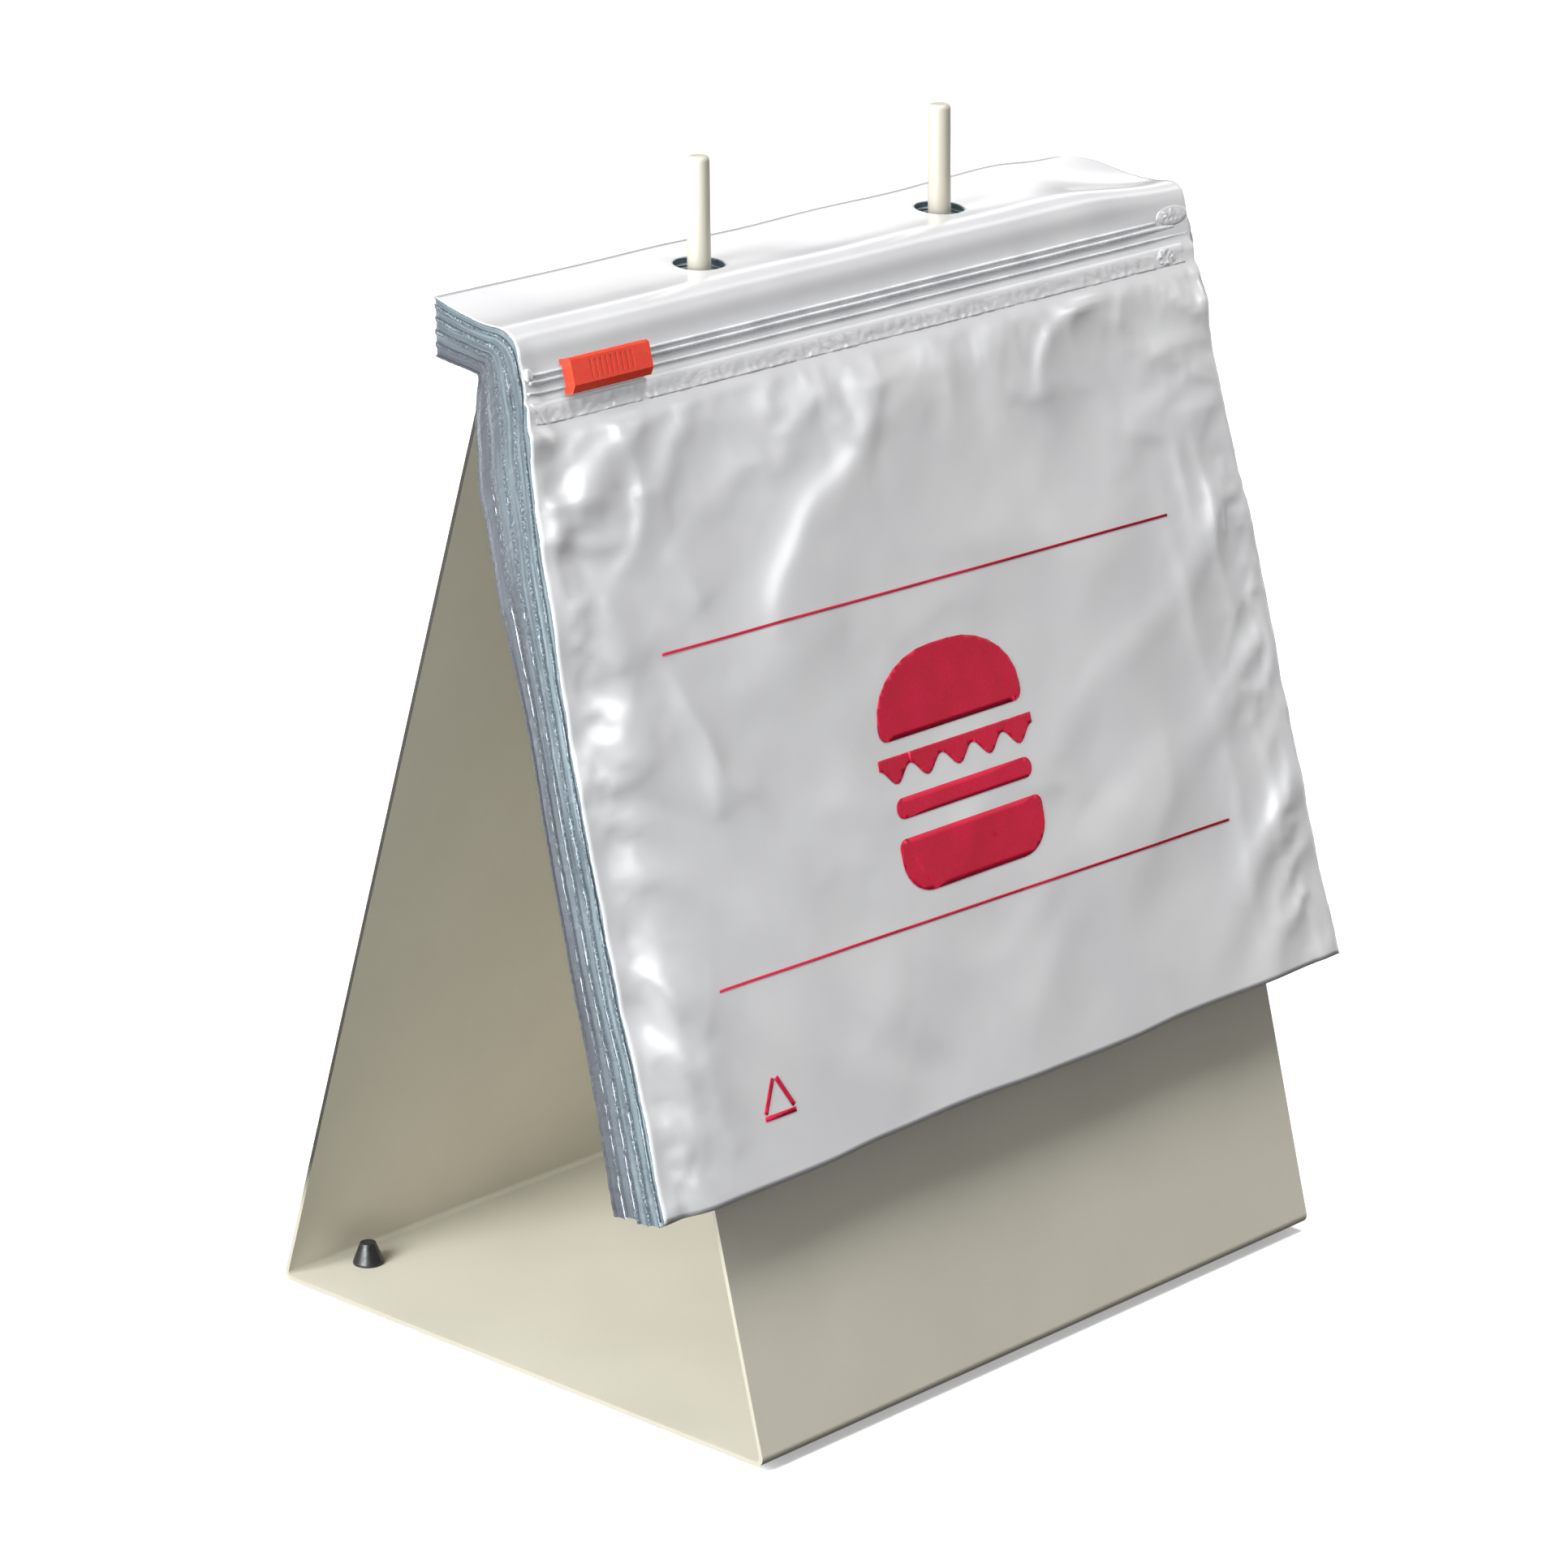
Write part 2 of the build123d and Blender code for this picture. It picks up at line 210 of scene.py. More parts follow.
# How far the rearmost ply hangs back at its left edge: (q, millimetres).
HANG = smooth_path([(-17, 0.0), (2, 1.0), (16, 6.0), (30, 8.3), (54, 5.9), (89, 3.2),
                    (116, 2.5), (177, 3.9), (240, 5.2)])
HANG_WIDTH = 6.5                    # from the edge to where nothing hangs back


def hang_back(x, q, n):
    """How far the hidden bags' plies hang back at the stack's free left side."""
    left, _ = edge_limits(q)
    depth = np.clip(1.0 - n / HIDDEN_TOP, 0.0, 1.0)
    return np.interp(q, HANG[:, 0], HANG[:, 1]) * smooth(-x, left - HANG_WIDTH, left) * depth


def spread(x, q):
    """How much the stack swells or sags at a place, as a share of its height."""
    # The headers' rear edges stand apart.
    rear = 0.20 * np.clip((REAR_Q + q) / (2.0 * REAR_Q), 0.0, 1.0) ** 2.4
    # The headers' right end sinks beyond the shelf.
    sag = 0.07 + 0.19 * smooth(q, REAR_Q, 8.0)
    droop = -sag * smooth(x, 84.0, 124.0) * smooth(-q, -26.0, -8.0)
    # The left side swells below the fold and has small ripples.
    swell = 0.16 * smooth(-x, 120.5, 131.0) * smooth(q, 14.0, 34.0) * smooth(-q, -105.0, -52.0)
    ripple = 0.05 * wave_noise(q, 0 * q, 24.0, 5) * smooth(-x, 119.0, 130.0) * smooth(q, 5, 30)
    # Broad waves, calm along the zip.
    calm = np.exp(-((q - HOLE_TO_ZIP) / 14.0) ** 2)
    broad = 0.015 * wave_noise(x, q, 60.0, 6) * (1.0 - calm)
    return 1.0 + rear + droop + swell + ripple + broad


CREST_ROUND = 0.4                   # rounding of a fold's crest, as a share of its width
FOLD_WANDER = 1.6                   # how far a fold strays from its path
# Folds in the front film: points (x from the middle, height up the panel),
# width of the crest and height.
FOLDS = [
    ([(-104, 269), (-98, 256), (-100, 240), (-110, 231)], 3.4, 1.5),
    ([(-131, 250), (-118, 251), (-105, 254)], 2.6, 1.1),
    ([(-131, 244), (-117, 241), (-104, 240)], 2.6, 1.1),
    ([(-108, 270), (-117, 262), (-126, 257)], 2.4, 0.9),
    ([(-104, 268), (-94, 266), (-82, 268)], 3.0, 1.0),
    ([(-93, 234), (-88, 226), (-84, 218)], 3.6, 1.1),
    ([(-130, 232), (-120, 222), (-116, 205), (-120, 188)], 5.0, 1.3),
    ([(-28, 256), (-21, 249), (-13, 254), (-9, 262)], 3.2, 1.1),
    ([(4, 257), (-18, 245), (-42, 232), (-56, 218), (-60, 204)], 5.5, 1.7),
    ([(88, 268), (66, 265), (54, 257), (51, 248)], 2.8, 1.3),
    ([(38, 251), (46, 247), (57, 247)], 3.0, 1.0),
    ([(64, 271), (70, 266), (82, 268)], 2.0, 0.9),
    ([(91, 270), (88, 262), (86, 257)], 2.2, 0.9),
    ([(99, 248), (112, 251), (124, 251)], 2.8, 1.2),
    ([(112, 243), (124, 237)], 2.4, 0.9),
    ([(82, 230), (98, 226), (103, 214), (102, 202)], 3.6, 1.3),
    ([(108, 226), (112, 210), (110, 192), (113, 172)], 3.4, 1.4),
    ([(91, 202), (95, 186), (95, 172), (98, 154)], 4.0, 1.2),
    ([(-101, 205), (-93, 190), (-88, 177), (-76, 167)], 3.2, 1.2),
    ([(-98, 196), (-92, 178), (-91, 166)], 2.8, 0.8),
    ([(-131, 176), (-120, 182), (-106, 186)], 4.0, 1.1),
    ([(-131, 142), (-121, 126), (-119, 106), (-118, 90)], 4.4, 1.3),
    ([(-112, 112), (-110, 96), (-108, 82)], 3.8, 0.8),
    ([(101, 140), (103, 116), (101, 92)], 4.6, 1.1),
    ([(113, 150), (116, 128), (114, 104)], 4.0, 1.0),
    ([(126, 128), (120, 119), (110, 114)], 2.8, 0.9),
    ([(130, 110), (121, 104), (112, 102)], 2.8, 0.9),
    ([(124, 186), (120, 176), (125, 166), (121, 154)], 2.0, 1.3),
    ([(20, 148), (34, 144), (40, 136)], 4.0, 0.7),
    ([(-16, 196), (2, 202), (18, 199)], 5.0, 0.6),
    ([(60, 120), (72, 132), (74, 150)], 6.0, 0.7),
    ([(-70, 130), (-62, 112), (-40, 100)], 7.0, 0.7),
]


def fold_relief(x, s):
    """Height of the film's folds at places (x, s) on the panel."""
    height = np.zeros(x.shape)
    bend_x = x + FOLD_WANDER * wave_noise(x, s, 14.0, 11)
    bend_s = s + FOLD_WANDER * wave_noise(x, s, 14.0, 12)
    for points, width, crest in FOLDS:
        distance, across, along = path_distance(bend_x, bend_s, smooth_path(points))
        taper = np.sin(np.clip(along, 0.0, 1.0) * pi * 0.86 + 0.22) ** 0.7
        wide = width * (0.9 + 0.9 * smooth(across, -width, width))
        cusp = np.exp(CREST_ROUND - np.sqrt((distance / wide) ** 2 + CREST_ROUND ** 2))
        height += crest * np.clip(taper, 0, 1) * cusp
    return height


CREASED_ZIP_S = 272.0               # the creases are strongest at this height


def crumple(x, s, seed):
    """Soft creases: ridged noise that is stronger near the sides and the zip."""
    side = np.minimum(x + SEAM_LEFT, SEAM_RIGHT - x)
    near_side = np.exp(-(np.clip(side, 0, None) / 20.0) ** 2)
    near_zip = np.exp(-((CREASED_ZIP_S - s) / 26.0) ** 2) * (s < CREASED_ZIP_S + 4.0)
    where = 0.12 + 0.9 * np.maximum(near_side, near_zip)
    bx = x + 7.0 * wave_noise(x, s, 33.0, seed)
    bs = s + 7.0 * wave_noise(x, s, 33.0, seed + 1)
    ridge = 1.0 - np.abs(wave_noise(bx, bs, 19.0, seed + 2))
    fine = 1.0 - np.abs(wave_noise(bx, bs, 9.0, seed + 3))
    return where * (0.85 * ridge ** 4 + 0.38 * fine ** 4)


# Panel of the front film that is simulated as cloth: x and s limits and cell.
CLOTH_X = (-130.0, 124.0)
CLOTH_S = (74.0, 271.0)
CLOTH_CELL = 2.8
CLOTH_FRAMES = 26
CLOTH_REST_FRAMES = 8               # at the end, after the edges have shrunk
CLOTH_SCALE = 0.01                  # simulated ten times life size
SEAM_SHRINK = 0.032                 # of the seams' length
WIDTH_SHRINK = 0.010                # of the width, everywhere
ZIP_SHRINK = 0.008                  # of the width, towards the zip
HOLLOW_SHARE = 0.45                 # hollows are kept shallower than crests
RELIEF_LIMITS = (-0.9, 2.6)


def simulate_film():
    """Relief of the front film, from a cloth whose welded edges shrink.

    The top row (the zip) and both side seams are pinned and shrink a little
    while the film between them keeps its length and buckles.
    """
    columns = int((CLOTH_X[1] - CLOTH_X[0]) / CLOTH_CELL) + 1
    rows = int((CLOTH_S[1] - CLOTH_S[0]) / CLOTH_CELL) + 1
    xs = np.linspace(*CLOTH_X, columns)
    ss = np.linspace(*CLOTH_S, rows)
    x, s = np.meshgrid(xs, ss, indexing="ij")
    start = 0.35 * wave_noise(x, s, 16.0, 91) + 0.2 * wave_noise(x, s, 7.0, 92)
    flat = np.stack([x, s, start], axis=-1).reshape(-1, 3)
    number = np.arange(columns * rows).reshape(columns, rows)
    mesh = bpy.data.meshes.new("film_cloth")
    mesh.from_pydata((flat * CLOTH_SCALE).tolist(), [], grid_faces(number))
    cloth = bpy.data.objects.new("film_cloth", mesh)
    bpy.context.scene.collection.objects.link(cloth)
    pins = cloth.vertex_groups.new(name="pins")
    pins.add([int(i) for i in np.unique(np.concatenate(
        [number[0], number[-1], number[:, -1]]))], 1.0, "REPLACE")
    cloth.shape_key_add(name="flat")
    shrunk = cloth.shape_key_add(name="shrunk")
    side = np.minimum(x - CLOTH_X[0], CLOTH_X[1] - x)
    seam = np.exp(-(side / 14.0) ** 2)
    new_s = CLOTH_S[1] - (CLOTH_S[1] - s) * (1.0 - SEAM_SHRINK * seam)
    new_x = x * (1.0 - WIDTH_SHRINK - ZIP_SHRINK * smooth(s, 240.0, CLOTH_S[1]))
    new_n = start + 1.3 * wave_noise(x, s, 11.0, 93)
    target = np.stack([new_x, new_s, new_n], axis=-1).reshape(-1, 3) * CLOTH_SCALE
    shrunk.data.foreach_set("co", target.astype(np.float32).ravel())
    shrunk.value = 0.0
    shrunk.keyframe_insert("value", frame=1)
    shrunk.value = 1.0
    shrunk.keyframe_insert("value", frame=CLOTH_FRAMES - CLOTH_REST_FRAMES)
    modifier = cloth.modifiers.new("cloth", "CLOTH")
    settings = modifier.settings
    settings.quality = 6
    settings.mass = 0.2
    settings.tension_stiffness = 30.0
    settings.compression_stiffness = 30.0
    settings.shear_stiffness = 12.0
    settings.bending_stiffness = 0.35
    settings.air_damping = 2.0
    settings.effector_weights.gravity = 0.0
    settings.vertex_group_mass = "pins"
    modifier.point_cache.frame_start = 1
    modifier.point_cache.frame_end = CLOTH_FRAMES
    for step in range(1, CLOTH_FRAMES + 1):
        bpy.context.scene.frame_set(step)
    result = cloth.evaluated_get(bpy.context.evaluated_depsgraph_get()).data
    co = np.zeros(len(result.vertices) * 3)
    result.vertices.foreach_get("co", co)
    height = co.reshape(-1, 3)[:, 2].reshape(columns, rows) / CLOTH_SCALE
    bpy.data.objects.remove(cloth)
    bpy.context.scene.frame_set(1)
    height = height - np.median(height)
    return np.clip(np.where(height < 0.0, HOLLOW_SHARE * height, height), *RELIEF_LIMITS)


CLOTH_RELIEF = simulate_film()


def cloth_relief(x, s):
    if CLOTH_RELIEF is None:
        return 0.0 * x
    columns, rows = CLOTH_RELIEF.shape
    gx = np.clip((x - CLOTH_X[0]) / (CLOTH_X[1] - CLOTH_X[0]), 0, 1) * (columns - 1)
    gs = np.clip((s - CLOTH_S[0]) / (CLOTH_S[1] - CLOTH_S[0]), 0, 1) * (rows - 1)
    ix = np.clip(gx.astype(int), 0, columns - 2)
    js = np.clip(gs.astype(int), 0, rows - 2)
    return blend(lambda dx, ds: CLOTH_RELIEF[ix + dx, js + ds],
                 smooth(gx - ix, 0.0, 1.0), smooth(gs - js, 0.0, 1.0))


# Relief of the films, in millimetres. v is the height above the zip's line.
BROAD_WAVES = [(0.55, 52.0, 21), (0.28, 25.0, 31)]      # height, size, seed
POUCH_SWELL = 0.35
SEAM_SAG = 1.5                      # at the front film's left seam
INNER_SHARE = 0.25                  # a hidden film's waves, as a share of the front film's
EDGE_FILL = 0.34                    # the hidden films' sides rise to meet the next bag
DIP_BELOW = (-13.0, -9.5)           # the hollow round a zip deepens between these v
DIP_ABOVE_FRONT = (5.0, 13.0)
DIP_ABOVE_INNER = (5.0, 9.0)
DIP_ENDS = (125.2, 127.2)           # a hidden zip's hollow ends between these widths
FRONT_DIP_LEVEL = 0.85              # film in the hollow, above the back ply
INNER_DIP_LEVEL = 0.42
FLANGE_LEVEL = 0.9                  # the front zipper's lower band lies this much higher


def header_relief(x, q):
    """Waves of the header: a little low, and uneven at its right end."""
    waves = 0.45 * wave_noise(x, q, 40.0, 51) - 0.35
    return waves + 0.6 * wave_noise(x, q, 24.0, 52) * smooth(x, 48.0, 84.0)


def pouch_relief(x, s, v, pouch):
    """Folds, creases and simulated relief of the front film below its zip."""
    seam = np.minimum(x + SEAM_LEFT, SEAM_RIGHT - x)
    busy = 0.10 + 0.40 * np.exp(-(seam / 22.0) ** 2) + 0.25 * smooth(s, 230.0, 262.0)
    creases = 0.60 * fold_relief(x, s) + 0.30 * crumple(x, s, 41) + busy * cloth_relief(x, s)
    sag = SEAM_SAG * np.exp(-(np.clip(x + SEAM_LEFT, 0.0, None) / 11.0) ** 2)
    return smooth(-v, 10.6, 15.0) * creases + (POUCH_SWELL - sag) * pouch


def film_relief(x, q, far, index):
    """Height added to a bag's outer ply; the front bag has index 0."""
    s = zip_height(far) + HOLE_TO_ZIP - q
    v = HOLE_TO_ZIP - q
    pouch = smooth(-v, 12.0, 22.0)
    header = 1.0 - smooth(q, 4.0, 20.0)
    broad = sum(high * wave_noise(x, q, size, seed + index) for high, size, seed in BROAD_WAVES)
    relief = broad * (0.25 + 0.75 * pouch) * (1.0 - 0.6 * header)
    relief += header * header_relief(x, q)
    if index == 0:
        relief += pouch_relief(x, s, v, pouch)
        dip = smooth(v, *DIP_BELOW) * (1.0 - smooth(v, *DIP_ABOVE_FRONT))
        level = FRONT_DIP_LEVEL + FLANGE_LEVEL * (1.0 - smooth(v, -5.2, -4.2))
    else:
        left, right = edge_limits(q)
        edge = smooth(np.where(x < 0, -x - left, x - right), -7.0, -1.5)
        relief = INNER_SHARE * relief * (1.0 - edge) + EDGE_FILL * edge
        dip = smooth(v, *DIP_BELOW) * (1.0 - smooth(v, *DIP_ABOVE_INNER))
        dip *= 1.0 - smooth(np.abs(x), *DIP_ENDS)
        level = INNER_DIP_LEVEL
    return relief * (1.0 - dip) + (level - BAG_THICKNESS) * dip


# ------ mesh helpers
def make_object(name, points, faces, body, materials, face_material=None,
                flat=None, sheet=None, groove=None):
    """Mesh object in metres from points in millimetres, riding on a body."""
    mesh = bpy.data.meshes.new(name)
    mesh.from_pydata((np.asarray(points) * MM).tolist(), [], faces)
    for material in materials:
        mesh.materials.append(material)
    if sheet is not None:
        layer = mesh.attributes.new("sheet", "FLOAT_VECTOR", "POINT")
        layer.data.foreach_set("vector", np.asarray(sheet, np.float32).ravel())
        layer = mesh.attributes.new("groove", "FLOAT", "POINT")
        layer.data.foreach_set("value", np.asarray(groove, np.float32))
    mesh.polygons.foreach_set("use_smooth", [True] * len(faces))
    if flat is not None:
        mesh.polygons.foreach_set("use_smooth", [not f for f in flat])
    if face_material is not None:
        mesh.polygons.foreach_set("material_index", list(face_material))
    mesh.update()
    shape = bmesh.new()
    shape.from_mesh(mesh)
    bmesh.ops.recalc_face_normals(shape, faces=shape.faces)
    shape.to_mesh(mesh)
    shape.free()
    obj = bpy.data.objects.new(name, mesh)
    bpy.context.scene.collection.objects.link(obj)
    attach(obj, body)
    return obj


# ------ materials
def new_material(name):
    """Material with a node tree and the shader that every surface here uses."""
    material = bpy.data.materials.new(name)
    material.use_nodes = True
    tree = material.node_tree
    return material, tree, tree.nodes["Principled BSDF"]


def add(tree, kind, inputs=None, **settings):
    """Node with settings and constant or linked inputs."""
    node = tree.nodes.new(kind)
    for key, value in settings.items():
        setattr(node, key, value)
    for key, value in (inputs or {}).items():
        if isinstance(value, bpy.types.NodeSocket):
            tree.links.new(value, node.inputs[key])
        else:
            node.inputs[key].default_value = value
    return node


def split(tree, vector):
    """The X, Y and Z of a vector."""
    return add(tree, "ShaderNodeSeparateXYZ", {"Vector": vector}).outputs


def dot(tree, first, second):
    """Dot product of two vectors."""
    return add(tree, "ShaderNodeVectorMath", {0: first, 1: second},
               operation="DOT_PRODUCT").outputs["Value"]


def combine(tree, operation, first, second):
    """Sum, product or maximum of two numbers."""
    return add(tree, "ShaderNodeMath", {0: first, 1: second}, operation=operation).outputs[0]


def srgb(red, green, blue):
    """Linear colour from sRGB numbers between 0 and 255."""
    def linear(c):
        c = c / 255.0
        return c / 12.92 if c <= 0.04045 else ((c + 0.055) / 1.055) ** 2.4
    return (linear(red), linear(green), linear(blue), 1.0)


def object_noise(tree, scale, detail=3.0, roughness=0.5):
    """Noise in object coordinates; the scale is in cycles per metre."""
    place = add(tree, "ShaderNodeTexCoord").outputs["Object"]
    return add(tree, "ShaderNodeTexNoise", {"Vector": place, "Scale": scale, "Detail": detail,
                                            "Roughness": roughness}).outputs["Fac"]


def ramp(tree, factor, stops):
    """Colour ramp through (position, colour) stops."""
    node = add(tree, "ShaderNodeValToRGB", {"Fac": factor})
    node.color_ramp.interpolation = "EASE"
    elements = node.color_ramp.elements
    while len(elements) < len(stops):
        elements.new(0.5)
    for element, (position, colour) in zip(elements, stops):
        element.position = position
        element.color = colour
    return node.outputs["Color"]


def remap(tree, value, low, high, start=0.0, end=1.0):
    """Value between start and end turned into low to high, smoothly."""
    return add(tree, "ShaderNodeMapRange", {"Value": value, "From Min": start, "From Max": end,
                                            "To Min": low, "To Max": high},
               interpolation_type="SMOOTHSTEP").outputs["Result"]


def mix(tree, factor, first, second, blend="MIX"):
    """Mix of two colours."""
    node = add(tree, "ShaderNodeMix", data_type="RGBA", blend_type=blend)
    for index, value in ((0, factor), (6, first), (7, second)):
        if isinstance(value, bpy.types.NodeSocket):
            tree.links.new(value, node.inputs[index])
        else:
            node.inputs[index].default_value = value
    return node.outputs[2]


def bump(tree, shader, height, strength, distance):
    """Bump on a shader; the distance is in metres."""
    node = add(tree, "ShaderNodeBump", {"Height": height, "Strength": strength,
                                        "Distance": distance})
    tree.links.new(node.outputs["Normal"], shader.inputs["Normal"])


def surface(tree, shader, base, roughness=None):
    """Link a shader's base colour, and its roughness if that varies."""
    tree.links.new(base, shader.inputs["Base Color"])
    if roughness is not None:
        tree.links.new(roughness, shader.inputs["Roughness"])


LEFT_EDGE_PAINTED_SHADE = srgb(158, 153, 139)        # painted shade on the sheet's side edges that face left
REAR_EDGE_PAINTED_SHADOW = srgb(46, 44, 38)            # darker painted shadow on the rear panel's side edge
REAR_SHADOW_FROM_Y = (-0.012, -0.006)              # metres; the painted shadow starts behind these
REAR_SHADOW_FROM_Z = (0.022, 0.042)                # and above these


def paint_edge_shade(tree, base, normal):
    """Base colour with painted shade on the side edges that face left, darkest (a painted shadow)
    on the rear panel.
    """
    place = split(tree, add(tree, "ShaderNodeTexCoord").outputs["Object"])
    rear = remap(tree, place["Y"], 0.0, 1.0, *REAR_SHADOW_FROM_Y)
    high = remap(tree, place["Z"], 0.0, 1.0, *REAR_SHADOW_FROM_Z)
    shade = mix(tree, combine(tree, "MULTIPLY", rear, high), LEFT_EDGE_PAINTED_SHADE, REAR_EDGE_PAINTED_SHADOW)
    # Only faces turned to the left, where the lamps fall, get the painted shade.
    side = remap(tree, split(tree, normal)["X"], 1.0, 0.0, -0.9, -0.6)
    return mix(tree, side, base, shade)


def darker(colour, share):
    """A colour with a share of its brightness left."""
    return tuple(c * share for c in colour[:3]) + (1,)


def painted(name, colour, wear_and_highlight, speckle=0.35, roughness=0.42, with_painted_edge_shade=False):
    """Satin powder coat: orange peel, faint mottling and dust, paler rims that are partly worn and
    partly a painted edge highlight.
    """
    material, tree, shader = new_material(name)
    mottle = object_noise(tree, 24.0, 4.0)
    peel = object_noise(tree, 900.0, 2.0)
    grain = object_noise(tree, 2600.0, 1.0)
    base = ramp(tree, mottle, [(0.3, darker(colour, 0.95)), (0.7, colour)])
    dust = remap(tree, grain, 0.0, speckle, 0.62, 0.75)
    base = mix(tree, dust, base, darker(colour, 0.82))
    # Paler rims along every edge: chipped wear plus a painted highlight.
    edge = add(tree, "ShaderNodeBevel", {"Radius": 0.0011}, samples=4).outputs["Normal"]
    true = add(tree, "ShaderNodeNewGeometry").outputs["Normal"]
    rim = remap(tree, dot(tree, edge, true), 1.0, 0.0, 0.72, 0.97)
    chips = remap(tree, object_noise(tree, 160.0, 5.0), 0.25, 1.0, 0.42, 0.62)
    base = mix(tree, combine(tree, "MULTIPLY", rim, chips), base, wear_and_highlight)
    if with_painted_edge_shade:
        base = paint_edge_shade(tree, base, true)
    surface(tree, shader, base,
            remap(tree, mottle, roughness - 0.05, roughness + 0.07, 0.3, 0.7))
    bump(tree, shader, peel, 0.22, 0.00006)
    return material


def film_material(name, tint, depth_tint):
    """Milky satin film: faintly cloudy, under a clear gloss."""
    material, tree, shader = new_material(name)
    cloud = object_noise(tree, 30.0, 3.0)
    fine = object_noise(tree, 700.0, 3.0, 0.6)
    base = ramp(tree, cloud, [(0.15, depth_tint), (0.85, tint)])
    base = mix(tree, remap(tree, fine, 0.0, 0.04, 0.2, 0.9), base, srgb(255, 255, 255))
    surface(tree, shader, base, remap(tree, cloud, 0.27, 0.31, 0.1, 0.9))
    shader.inputs["Specular IOR Level"].default_value = 0.8
    shader.inputs["Metallic"].default_value = 0.25
    shader.inputs["Coat Weight"].default_value = 0.35
    shader.inputs["Coat Roughness"].default_value = 0.12
    bump(tree, shader, fine, 0.10, 0.00008)
    return material


def edge_material(name):
    """Sides of the bags: blue-grey bands between cut edges with painted glints.

    The sheet attribute holds a point's x, q and n; groove is 1 between the plies.
    """
    material, tree, shader = new_material(name)
    sheet = add(tree, "ShaderNodeAttribute", attribute_name="sheet").outputs["Vector"]
    groove = add(tree, "ShaderNodeAttribute", attribute_name="groove").outputs["Fac"]
    stretch = add(tree, "ShaderNodeMapping", {"Vector": sheet, "Scale": (0.0, 0.03, 1.1)})
    streak = add(tree, "ShaderNodeTexNoise", {"Vector": stretch.outputs["Vector"], "Scale": 1.0,
                                              "Detail": 3.0, "Distortion": 0.4}).outputs["Fac"]
    glint_and_grain = object_noise(tree, 1700.0, 2.0, 0.7)
    band = ramp(tree, streak, [(0.25, srgb(54, 57, 61)), (0.42, srgb(76, 84, 89)),
                               (0.55, srgb(94, 105, 110)), (0.75, srgb(110, 123, 129))])
    # Cut edges: the pale specks from the glint noise are painted glints; the same noise bumps them.
    cut = ramp(tree, glint_and_grain, [(0.35, srgb(52, 58, 63)), (0.55, srgb(80, 91, 98)),
                               (0.72, srgb(150, 163, 171))])
    place = split(tree, sheet)
    # Painted shade: darker towards the stand. Painted light: paler away from the left side, at the
    # header holes and the right side.
    painted_depth_shade = remap(tree, place["Z"], 0.85, 0.0, -1.0, 11.0)
    base = mix(tree, painted_depth_shade, mix(tree, groove, cut, band), srgb(62, 62, 68))
    painted_light = mix(tree, groove, srgb(212, 226, 233), srgb(112, 134, 146))
    base = mix(tree, remap(tree, place["X"], 0.0, 1.0, -100.0, -80.0), base, painted_light)
    surface(tree, shader, base)
    shader.inputs["Roughness"].default_value = 0.36
    bump(tree, shader, glint_and_grain, 0.5, 0.0002)
    return material


def plastic(name, colour, shade, roughness, coat=0.3, grain=1200.0):
    """Moulded plastic with faint flow marks and handling scuffs."""
    material, tree, shader = new_material(name)
    flow = object_noise(tree, 120.0, 4.0)
    scuff = object_noise(tree, grain, 3.0, 0.6)
    base = ramp(tree, flow, [(0.35, shade), (0.65, colour)])
    surface(tree, shader, base,
            remap(tree, scuff, roughness * 0.8, roughness * 1.35, 0.35, 0.65))
    shader.inputs["Coat Weight"].default_value = coat
    shader.inputs["Coat Roughness"].default_value = 0.12
    bump(tree, shader, scuff, 0.12, 0.00005)
    return material


def metal(name):
    """Zinc-plated steel with a fine brushed grain."""
    material, tree, shader = new_material(name)
    grain = object_noise(tree, 1800.0, 4.0, 0.7)
    patch = object_noise(tree, 220.0, 2.0)
    base = ramp(tree, patch, [(0.3, srgb(150, 152, 150)), (0.7, srgb(196, 197, 192))])
    surface(tree, shader, base, remap(tree, grain, 0.22, 0.45, 0.3, 0.7))
    shader.inputs["Metallic"].default_value = 1.0
    bump(tree, shader, grain, 0.15, 0.00005)
    return material


STAND_PAINT = painted("stand_powder_coat", srgb(203, 198, 183), srgb(214, 210, 197),
                      with_painted_edge_shade=True)
PEG_PAINT = painted("peg_powder_coat", srgb(198, 193, 179), srgb(214, 209, 197), 0.2, 0.34)
FILM = film_material("front_film", srgb(236, 236, 237), srgb(223, 223, 225))
# The hidden bags' film is the front bag's film, painted darker and bluer as shade inside the stack.
SHADED_INNER_FILM = film_material("inner_film_painted_shade", srgb(206, 210, 215), srgb(190, 196, 204))
PLY_EDGE = edge_material("ply_edges")
CLEAR_TRACK = plastic("clear_track", srgb(236, 237, 239), srgb(214, 216, 219), 0.24, 0.5)
WELD = film_material("welded_film", srgb(232, 232, 233), srgb(214, 214, 216))
SLIDER_RED = plastic("slider_red", srgb(247, 76, 44), srgb(238, 60, 34), 0.34, 0.5)
RUBBER = plastic("foot_rubber", srgb(20, 20, 21), srgb(30, 30, 31), 0.38, 0.15)
ZINC = metal("zinc_steel")
PRINT = plastic("crimson_print", srgb(205, 0, 56), srgb(196, 0, 50), 0.50, 0.0)


# ------ the bags
SQUARE_CELLS = 4                    # half the mesh square that a header hole is cut from
RING_CELLS = 8                      # half the square in which the mesh makes room for it
CALM_X = 96.0                       # the mesh's columns are stretched outside this
HEM = 24.0                          # length of film that is wavy above the bottom edge
EDGE_GROOVE = 0.45                  # groove between the plies at a bag's edge
HOLE_GROOVE = 0.5
# Profile of the joined plies' rim: ply, share of the height, share of the groove.
RIM_PROFILE = [(0, 0.14, 0.0), (0, 0.24, 1.0), (1, 0.76, 1.0), (1, 0.86, 0.0)]


def warped(x, q, n):
    """Height n after the stack's swelling and sagging."""
    return n * spread(x, q)


